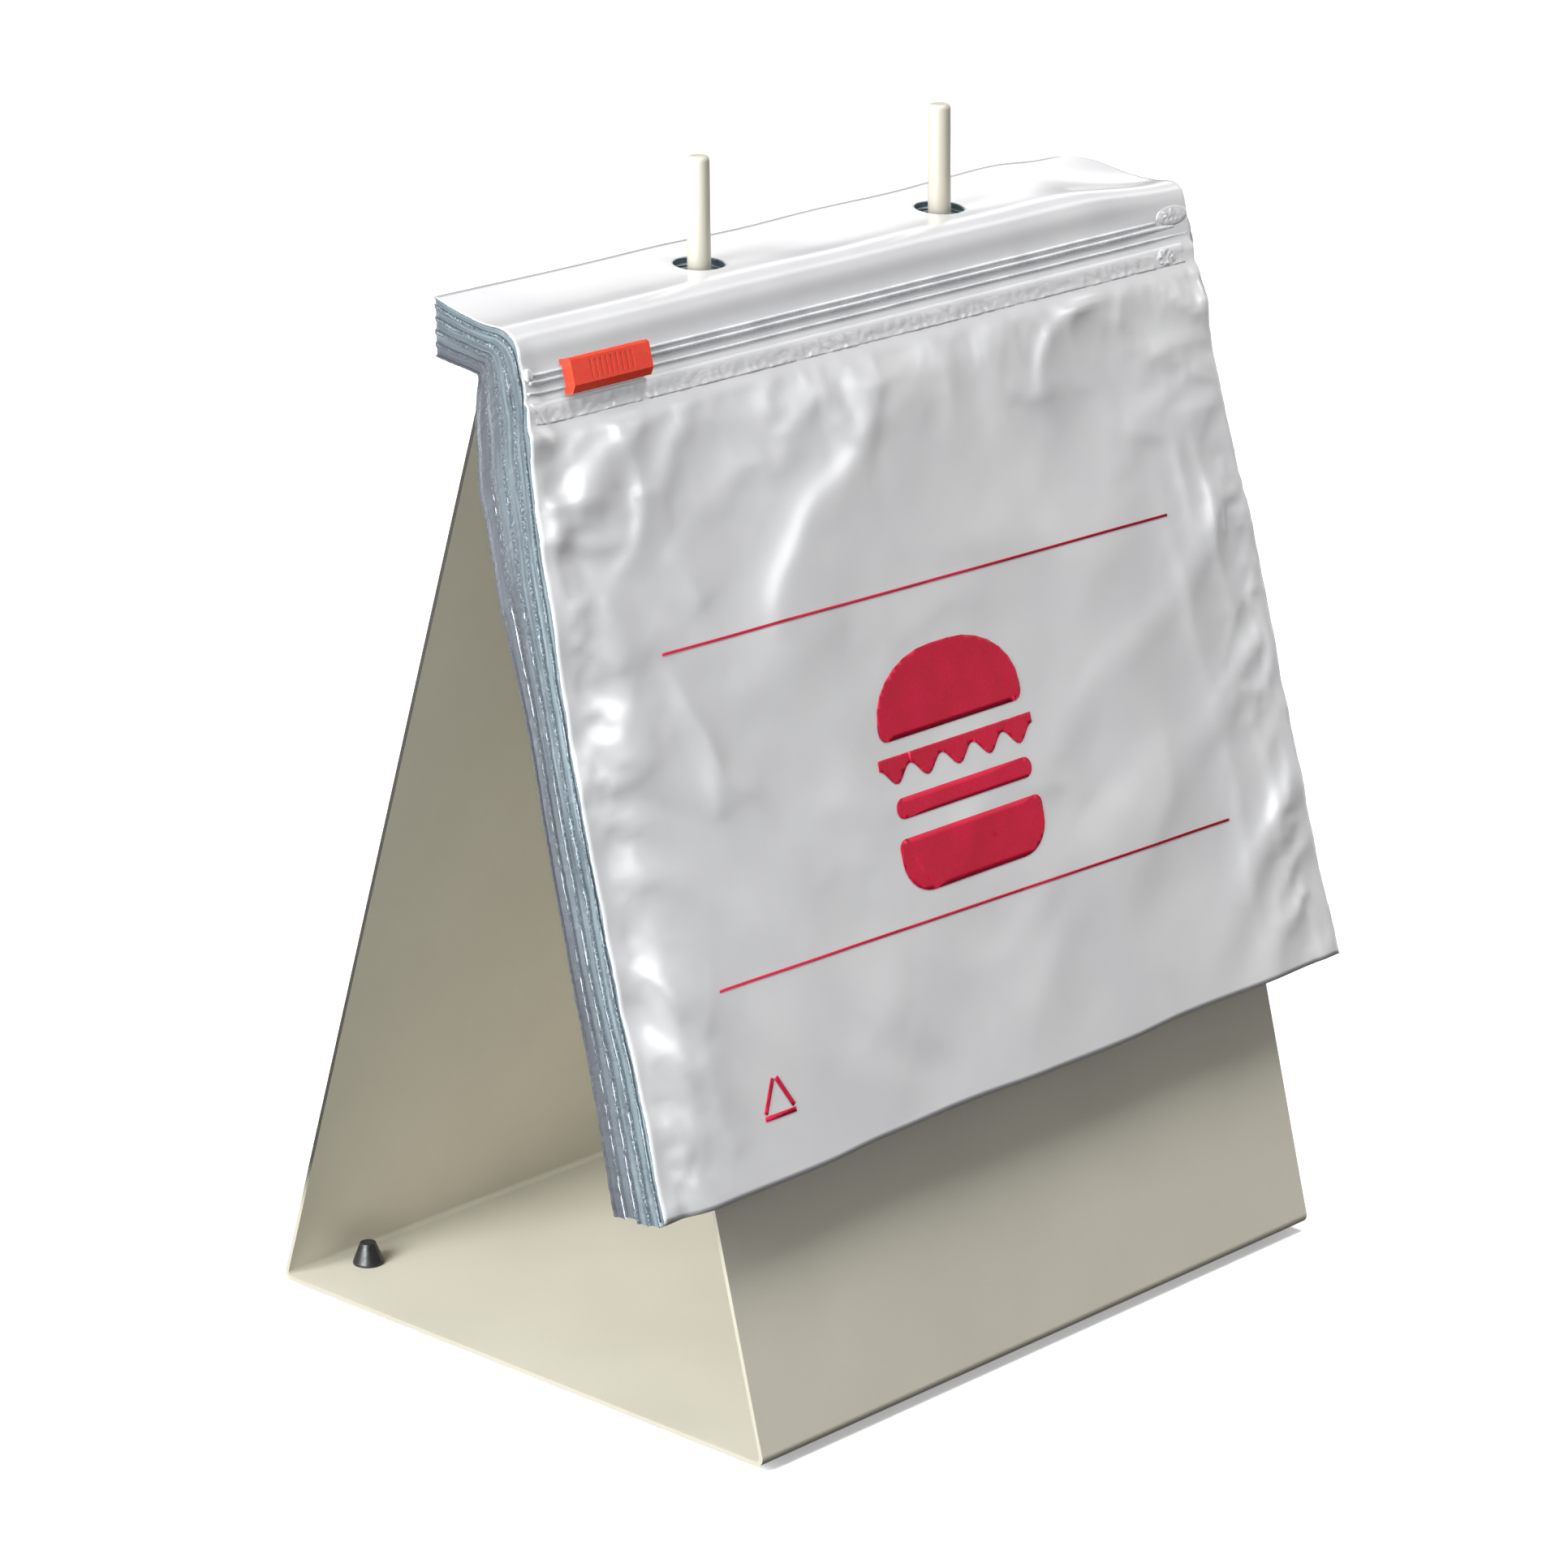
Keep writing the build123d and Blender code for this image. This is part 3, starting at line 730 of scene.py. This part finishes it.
def sheet_grid(column):
    """Flat places (x, q) of a bag's grid, opened round the two header holes."""
    half = int(SEAM_LEFT // column)
    x, q = np.meshgrid(np.arange(-half, half + 1) * column,
                       np.linspace(REAR_Q, BOTTOM_Q, ROWS + 1), indexing="ij")
    reach, square = RING_CELLS * FINE_COLUMN, SQUARE_CELLS * FINE_COLUMN
    inside = np.zeros(x.shape, bool)
    for centre in (-HOLE_X, HOLE_X):
        dx, dq = x - centre, q
        ring = np.maximum(np.abs(dx), np.abs(dq))
        radius = np.maximum(np.hypot(dx, dq), 1e-6)
        share = np.clip((ring - square) / (reach - square), 0.0, 1.0)
        pull = np.where(ring < reach, (1 - share) * HOLE_RADIUS / radius + share, 1.0)
        x, q = centre + dx * pull, dq * pull
        inside |= ring < square - 0.1
    return x, q, inside


def stretch_sides(x, q, jitter, index):
    """Pull the outer columns to the bag's left and right edges."""
    left, right = edge_limits(q)
    if index:
        # The hidden bags bulge at the right, beside the zip's end.
        right = right + 2.6 * np.exp(-((q - 33.0) / 16.0) ** 2)
    outer = (np.abs(x) - CALM_X) / (np.abs(x).max() - CALM_X)
    goal = np.where(x < 0, left, right) + jitter
    return np.where(np.abs(x) > CALM_X, np.sign(x) * (CALM_X + outer * (goal - CALM_X)), x)


def side_jitter(q, seed):
    """Ragged line of a cut edge; the stack's long waves are common to all bags."""
    return (0.13 * wave_noise(q, 0 * q, 1.1, seed) + 0.09 * wave_noise(q, 0 * q, 6.0, seed + 1)
            + 0.45 * wave_noise(q, 0 * q, 32.0, 103))


def make_plies(x0, q0, far, index):
    """Places (x, q, n) of a bag's back ply and front ply."""
    seed = 100 + 20 * index
    hem = smooth(q0, BOTTOM_Q - HEM, BOTTOM_Q)
    bottom_wave = 0.9 * wave_noise(x0, 0 * x0, 30.0, seed) * hem
    plies = []
    for level in (0, 1):
        x = stretch_sides(x0, q0, side_jitter(q0, seed + 3 * level + 1), index)
        q = q0 + bottom_wave + 0.3 * level * hem
        rise = film_relief(x, q, far, index) if level else 0 * x - BAG_THICKNESS
        plies.append((x, q, far + rise))
    return plies


def rim_loops(x0, q0, column):
    """Loops of (column, row, outward direction) round the bag and its holes.

    Each comes with the depth of its groove.
    """
    columns, rows = x0.shape
    outer = ([(i, 0, 0, -1) for i in range(columns - 1)]
             + [(columns - 1, j, 1, 0) for j in range(rows - 1)]
             + [(i, rows - 1, 0, 1) for i in range(columns - 1, 0, -1)]
             + [(0, j, -1, 0) for j in range(rows - 1, 0, -1)])
    loops = [(outer, EDGE_GROOVE)]
    span_i, span_j = round(SQUARE_CELLS * FINE_COLUMN / column), SQUARE_CELLS
    zero_j = round(-REAR_Q / (BOTTOM_Q - REAR_Q) * ROWS)
    for centre in (-HOLE_X, HOLE_X):
        ci = round(centre / column) + columns // 2
        ring = ([(ci + i, zero_j - span_j) for i in range(-span_i, span_i)]
                + [(ci + span_i, zero_j + j) for j in range(-span_j, span_j)]
                + [(ci - i, zero_j + span_j) for i in range(-span_i, span_i)]
                + [(ci - span_i, zero_j - j) for j in range(-span_j, span_j)])
        loop = []
        for i, j in ring:
            dx, dq = centre - x0[i, j], -q0[i, j]
            length = (dx * dx + dq * dq) ** 0.5
            loop.append((i, j, dx / length, dq / length))
        loops.append((loop, HOLE_GROOVE))
    return loops


def build_bag(name, index, column):
    """Bag: two plies, joined round the edge and through the header holes."""
    far = FILM_TOPS[name]
    x0, q0, inside = sheet_grid(column)
    plies = make_plies(x0, q0, far, index)
    places, grooves, numbers, faces = [], [], [], []
    total = 0

    def add_places(x, q, n, groove):
        """Keep some places and return their numbers."""
        nonlocal total
        places.append(np.stack([x, q, n], axis=-1))
        grooves.append(np.full(len(x), groove))
        total += len(x)
        return np.arange(total - len(x), total)

    for ply in plies:
        number = np.full(x0.shape, -1, int)
        number[~inside] = add_places(*(part[~inside] for part in ply), 0.0)
        numbers.append(number)
        faces += grid_faces(number)
    ply_faces = len(faces)

    for loop, inset in rim_loops(x0, q0, column):
        i, j, ox, oq = np.array(loop).T
        picks = i.astype(int), j.astype(int)
        corners = [tuple(part[picks] for part in ply) for ply in plies]
        low, high = corners[0][2], corners[1][2]
        rings = [numbers[0][picks]]
        for level, share, grooved in RIM_PROFILE:
            x, q, _ = corners[level]
            depth = inset * grooved
            rings.append(add_places(x - ox * depth, q - oq * depth,
                                    low + share * (high - low), grooved))
        rings.append(numbers[1][picks])
        for near_ring, far_ring in zip(rings, rings[1:]):
            faces += np.stack([near_ring, np.roll(near_ring, -1), np.roll(far_ring, -1),
                               far_ring], axis=-1).tolist()

    sheet = np.concatenate(places)
    x, q, n = sheet.T
    on_rim = [0] * ply_faces + [1] * (len(faces) - ply_faces)
    piece = make_object(name + "_bag_sheets", film_point(x, q, warped(x, q, n), far), faces,
                        name + "_bag", [FILM if index == 0 else SHADED_INNER_FILM, PLY_EDGE],
                        on_rim, on_rim, sheet, np.concatenate(grooves))
    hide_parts(name + "_bag_film")


for index, name in enumerate(BAG_NAMES):
    build_bag(name, index, FINE_COLUMN if index == 0 else 2 * FINE_COLUMN)


# ------ the front zipper
ZIP_S = zip_height(FRONT_TOP)
ZIP_LEFT, ZIP_RIGHT = -127.6, 123.2
RIB_STEP = 1.4
# Ribs: height above the zip's line, radius, base above the back ply, ends, wobble.
RIBS = [
    (2.25, 0.55, 0.55, ZIP_LEFT + 1.5, ZIP_RIGHT - 12.0, 0.05),
    (0.55, 0.62, 0.45, ZIP_LEFT + 1.5, ZIP_RIGHT - 6.0, 0.05),
    (-2.1, 0.42, 0.50, ZIP_LEFT, ZIP_RIGHT, 0.06),
]
# Flange: a thin crimped band with a saw-cut, slightly raised lower edge.
FLANGE_TOP = -4.3                   # above the zip's line
FLANGE_HEIGHT = 5.7
TOOTH = 1.3
TOOTH_DEPTH = 0.32
# Its outline: share of the height, lift above the film, whether it is crimped.
FLANGE_OUTLINE = [
    (0.0, 0.0, 0), (0.1, 0.04, 1), (0.3, 0.05, 1), (0.46, 0.05, 1), (0.6, 0.05, 1),
    (0.72, 0.05, 1), (0.84, 0.05, 1), (0.92, 0.18, 1), (0.97, 0.16, 1), (1.0, 0.0, 0),
    (1.0, -0.5, 0), (0.0, -0.5, 0),
]
# Bead at the left end, then two flattened, bubbly welds at the right end:
# centre, half sizes, height, seed and height of the bubbles.
LUMPS = [
    (ZIP_LEFT + 1.9, 2.4, 1.7, 1.9, 1.1, 81, 0.0),
    (117.6, 3.4, 6.6, 2.7, 0.36, 82, 0.16),
    (111.5, -7.6, 4.0, 2.6, 0.36, 83, 0.30),
]


def front_level(x, s):
    """Distance down the film and height of the front film's outer ply."""
    q = ZIP_S + HOLE_TO_ZIP - s
    return q, FRONT_TOP + film_relief(x, q, FRONT_TOP, 0)


def rib_places(v, radius, base, x_start, x_end, wobble):
    """Round rib along the zip; it flattens towards its right end."""
    xs = np.arange(x_start, x_end + 0.5, RIB_STEP)
    x, angle = np.meshgrid(xs, np.linspace(0, 2 * pi, 10, endpoint=False), indexing="ij")
    drift = wobble * wave_noise(x, 0 * x, 17.0, 60)
    grow = 1.0 - 0.5 * smooth(x, x_end - 22.0, x_end)
    s = ZIP_S + v + drift + radius * np.cos(angle)
    n = FRONT_TOP - BAG_THICKNESS + base + radius * grow * (1 + np.sin(angle)) * 0.9
    return x, s, n


def flange_places():
    """Crimped band below the ribs."""
    share, lift, crimped = np.array(FLANGE_OUTLINE).T
    xs = np.arange(ZIP_LEFT, ZIP_RIGHT - 4.0, 0.6)
    x, t = np.meshgrid(xs, share, indexing="ij")
    teeth = TOOTH_DEPTH * np.abs((x / TOOTH) % 1.0 - 0.5) * 2.0 * smooth(t, 0.8, 1.0)
    s = ZIP_S + FLANGE_TOP - t * FLANGE_HEIGHT - teeth
    crimp = 0.15 * wave_noise(x, 2.0 * s, 1.3, 71) * smooth(t, 0.3, 0.5)
    crimp += 0.07 * wave_noise(0.25 * x, 2.0 * s, 1.0, 72)
    return x, s, front_level(x, s)[1] + lift + crimp * crimped


def lump_places(cx, cv, rx, rv, high, seed, bubbles):
    """Low dome on the film, with bubbles."""
    radial = np.concatenate([np.linspace(0.0, 0.9, 13), [0.95, 1.0]])[1:]
    r, angle = np.meshgrid(radial, np.linspace(0, 2 * pi, 72, endpoint=False), indexing="ij")
    x, s = cx + rx * r * np.cos(angle), ZIP_S + cv + rv * r * np.sin(angle)
    dome = high * np.sqrt(np.clip(1.0 - r ** 4, 0.0, 1.0))
    dome += bubbles * np.clip(wave_noise(x, s, 0.9, seed), -0.4, 1.0) * (1 - r ** 3)
    return x, s, front_level(x, s)[1] - 0.05 + dome


def tube_faces(number):
    """Faces of a grid whose second direction is closed, with both ends capped."""
    following = np.roll(number, -1, axis=1)
    sides = np.stack([number[:-1], number[1:], following[1:], following[:-1]], axis=-1)
    return sides.reshape(-1, 4).tolist() + [number[0, ::-1].tolist(), number[-1].tolist()]


def build_zipper():
    """Front bag's zipper: ribs, flange, end bead and welds."""
    tubes = ([(rib_places(*rib), 0) for rib in RIBS] + [(flange_places(), 1)]
             + [(lump_places(*lump), 1) for lump in LUMPS])
    points, faces, material = [], [], []
    count = 0
    for (x, s, n), slot in tubes:
        q = ZIP_S + HOLE_TO_ZIP - s
        points.append(film_point(x, q, warped(x, q, n), FRONT_TOP).reshape(-1, 3))
        faces += tube_faces(np.arange(x.size).reshape(x.shape) + count)
        material += [slot] * (len(faces) - len(material))
        count += x.size
    piece = make_object("front_bag_zip", np.concatenate(points), faces, "front_bag",
                        [CLEAR_TRACK, WELD], material)
    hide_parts("front_bag_zipper")


build_zipper()


# ------ printed marks
INK_LIFT = 0.14                     # above the film, so that no fold covers a print
INK_THICKNESS = 0.08


def drape(name, outlines, step=1.5):
    """Thin printed shapes on the front film, from closed (x, s) outlines."""
    shape = bmesh.new()
    for outline in outlines:
        face = shape.faces.new([shape.verts.new((px, ps, 0.0)) for px, ps in outline])
        bmesh.ops.triangulate(shape, faces=[face])
    places = np.array([v.co[:2] for v in shape.verts])
    for axis in (0, 1):
        position = places[:, axis].min() + step
        while position < places[:, axis].max():
            plane, normal = [0.0, 0.0, 0.0], [0.0, 0.0, 0.0]
            plane[axis], normal[axis] = position, 1.0
            geometry = list(shape.verts) + list(shape.edges) + list(shape.faces)
            bmesh.ops.bisect_plane(shape, geom=geometry, plane_co=plane, plane_no=normal)
            position += step
    shape.verts.ensure_lookup_table()
    shape.verts.index_update()
    flat = np.array([v.co[:] for v in shape.verts])
    faces = [[v.index for v in f.verts] for f in shape.faces]
    shape.free()
    x, s, _ = flat.T
    q, n = front_level(x, s)
    points = film_point(x, q, warped(x, q, n) + INK_LIFT, FRONT_TOP)
    piece = make_object(name, points, faces, "front_bag", [PRINT])
    thickness = piece.modifiers.new("ink", "SOLIDIFY")
    thickness.thickness = INK_THICKNESS * MM
    thickness.offset = 0.0


def bar(x_left, s_left, x_right, s_right, width):
    """Thin straight bar from its left end to its right end."""
    run, rise = x_right - x_left, s_right - s_left
    length = (run * run + rise * rise) ** 0.5
    ox, oy = -rise / length * width / 2, run / length * width / 2
    return [(x_left - ox, s_left - oy), (x_right - ox, s_right - oy),
            (x_right + ox, s_right + oy), (x_left + ox, s_left + oy)]


def rounded(x_low, s_low, x_high, s_high, radii, steps=8):
    """Rectangle with its own radius at each corner, from lower left on."""
    corners = [(x_low, s_low, 1, 1, pi), (x_high, s_low, -1, 1, 1.5 * pi),
               (x_high, s_high, -1, -1, 0.0), (x_low, s_high, 1, -1, 0.5 * pi)]
    outline = []
    for (cx, cs, dx, ds, start), (rx, rs) in zip(corners, radii):
        for t in np.linspace(0.0, pi / 2, steps):
            outline.append((cx + dx * rx + rx * cos(start + t), cs + ds * rs + rs * sin(start + t)))
    return outline


def wavy(x_low, x_high, s_low, s_high, swing, waves, steps=60):
    """Band whose lower edge waves."""
    xs = np.linspace(x_low, x_high, steps)
    lower = [(px, s_low + swing * cos(2 * pi * waves * (px - x_low) / (x_high - x_low)))
             for px in xs]
    upper = [(px, s_high) for px in xs[::-1]]
    return lower + upper


RULE_WIDTH = 0.7
MARK_WIDTH = 1.3
RULES = [bar(-100.9, 209.0, 92.2, 206.0, RULE_WIDTH),
         bar(-102.9, 124.0, 96.0, 120.5, RULE_WIDTH)]
# Plain pictogram of a filled roll, in place of a printed name.
PICTOGRAM = [
    rounded(-31.0, 170.5, 24.0, 192.0, [(3, 3), (3, 3), (24, 17), (24, 17)]),
    wavy(-33.0, 26.0, 161.5, 166.5, 2.2, 5.0),
    rounded(-29.5, 150.0, 22.5, 155.5, [(2.7, 2.7)] * 4),
    rounded(-31.0, 130.0, 24.0, 145.0, [(10, 9), (10, 9), (2.5, 2.5), (2.5, 2.5)]),
]
# Plain triangle of three bars, in place of a printed mark.
SMALL_MARK = [bar(-95.6, 89.0, -84.4, 88.8, MARK_WIDTH),
              bar(-95.2, 90.2, -90.6, 98.4, MARK_WIDTH),
              bar(-89.4, 98.4, -84.8, 90.0, MARK_WIDTH)]
drape("front_bag_rules", RULES)
drape("front_bag_pictogram", PICTOGRAM)
drape("front_bag_small_mark", SMALL_MARK)


# ------ looks of the CAD nodes
NODE_MATERIALS = {
    "stand_shell": STAND_PAINT,
    "peg_left": PEG_PAINT,
    "peg_right": PEG_PAINT,
    "peg_washers": ZINC,
    "peg_nuts": ZINC,
}
for name in BAG_NAMES:
    NODE_MATERIALS[name + "_bag_slider"] = SLIDER_RED
    if name != "front":
        NODE_MATERIALS[name + "_bag_zipper"] = CLEAR_TRACK
for node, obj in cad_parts.items():
    material = RUBBER if node.startswith("foot_") else NODE_MATERIALS.get(node)
    if material is None:
        continue
    obj.data.materials.clear()
    obj.data.materials.append(material)
# The slider leaves no red glow on the film.
front_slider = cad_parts["front_bag_slider"]
front_slider.visible_glossy = False
front_slider.visible_diffuse = False


# ------ staging
FLOOR_SIZE = 14.0
SKY_LOW, SKY_HIGH = 0.04, 0.12      # strength of the plain surround
SKY_RISE = (0.08, 0.54)             # between these heights of the view direction
# Soft lights in the surround: direction, half width in degrees, strength.
WORLD_GLOWS = [
    ((-1.0, 0.0, 0.0), 46.0, 3.3),
    ((0.66, -0.74, 0.18), 28.0, 0.4),
    ((0.39, -0.81, 0.37), 15.0, 2.4),
    ((0.75, 0.57, 0.36), 10.0, 1.6),
    ((0.75, -0.10, 0.62), 12.0, 1.0),
    ((1.0, 0.1, 0.10), 34.0, 1.2),
    ((-0.2, 1.0, 0.1), 42.0, 0.6),
]
GLOW_CORE = 0.3                     # full strength within this share of the half width
COOL_WHITE = (0.93, 0.98, 1.0)
WHITE = (1.0, 1.0, 1.0, 1.0)


def add_floor():
    """Plain white floor that doesn't light the part."""
    material, tree, shader = new_material("floor_paper")
    shade = object_noise(tree, 1.5, 2.0)
    surface(tree, shader,
            ramp(tree, shade, [(0.3, srgb(250, 250, 250)), (0.7, srgb(253, 253, 253))]))
    shader.inputs["Roughness"].default_value = 0.9
    shader.inputs["Specular IOR Level"].default_value = 0.1
    shader.inputs["Emission Color"].default_value = WHITE
    shader.inputs["Emission Strength"].default_value = 0.3
    bpy.ops.mesh.primitive_plane_add(size=FLOOR_SIZE, location=(0, 0, 0))
    floor = bpy.context.object
    floor.name = "floor"
    floor.data.materials.append(material)
    floor.visible_diffuse = False
    floor.visible_glossy = False


def add_world():
    """Dim plain surround with soft lights in it; the camera sees it white."""
    world = bpy.data.worlds.new("studio")
    bpy.context.scene.world = world
    world.use_nodes = True
    tree = world.node_tree
    direction = add(tree, "ShaderNodeTexCoord").outputs["Generated"]
    glow = remap(tree, split(tree, direction)["Z"], SKY_LOW, SKY_HIGH, *SKY_RISE)
    for towards, width, strength in WORLD_GLOWS:
        axis = Vector(towards).normalized()
        lobe = remap(tree, dot(tree, direction, axis), 0.0, strength, cos(radians(width)),
                     cos(radians(width * GLOW_CORE)))
        glow = combine(tree, "ADD", glow, lobe)
    seen = add(tree, "ShaderNodeLightPath").outputs["Is Camera Ray"]
    glow = combine(tree, "MAXIMUM", glow, seen)
    tree.links.new(glow, tree.nodes["Background"].inputs["Strength"])
    tree.nodes["Background"].inputs["Color"].default_value = WHITE


def add_sun(name, towards, width, strength):
    """Soft distant light that shines from a direction."""
    data = bpy.data.lights.new(name, "SUN")
    data.angle = radians(width)
    data.energy = strength
    light = bpy.data.objects.new(name, data)
    light.rotation_euler = Vector(towards).to_track_quat("Z", "Y").to_euler()
    bpy.context.scene.collection.objects.link(light)


def add_box_light(name, place, target, size, strength):
    """Soft box near the object, hidden from the camera."""
    data = bpy.data.lights.new(name, "AREA")
    data.size = size
    data.energy = strength
    data.color = COOL_WHITE
    light = bpy.data.objects.new(name, data)
    light.location = place
    light.rotation_euler = (Vector(place) - Vector(target)).to_track_quat("Z", "Y").to_euler()
    light.visible_camera = False
    bpy.context.scene.collection.objects.link(light)


CAMERA_PLACE = (-1.0250, -0.9822, 0.5988)
CAMERA_ANGLES = (-46.199, 17.928, -0.492)   # azimuth, elevation and roll in degrees
CAMERA_LENS = 127.27                        # millimetres, on a 36 mm sensor


def add_camera():
    """Camera at the picture's viewing angle: 46.2 degrees left, 17.9 above."""
    azimuth, elevation, roll = (radians(angle) for angle in CAMERA_ANGLES)
    back = Vector((sin(azimuth) * cos(elevation), -cos(azimuth) * cos(elevation),
                   sin(elevation)))
    level = Vector((cos(azimuth), sin(azimuth), 0.0))
    upright = back.cross(level)
    right = cos(roll) * level + sin(roll) * upright
    up = cos(roll) * upright - sin(roll) * level
    data = bpy.data.cameras.new("camera")
    data.lens = CAMERA_LENS
    data.sensor_width = 36.0
    data.clip_end = 50.0
    camera = bpy.data.objects.new("camera", data)
    turn = Matrix((right, up, back)).transposed()
    camera.matrix_world = Matrix.Translation(CAMERA_PLACE) @ turn.to_4x4()
    bpy.context.scene.collection.objects.link(camera)
    bpy.context.scene.camera = camera


add_floor()
add_world()
add_camera()
add_sun("top_light", (0.10, -0.20, 1.0), 20.0, 2.3)
add_box_light("left_box", (-0.50, -0.02, 0.22), (0.0, 0.0, 0.03), 0.30, 2.9)
add_sun("left_light", (-0.87, 0.0, 0.55), 24.0, 2.3)
bpy.context.scene.view_settings.view_transform = "Standard"
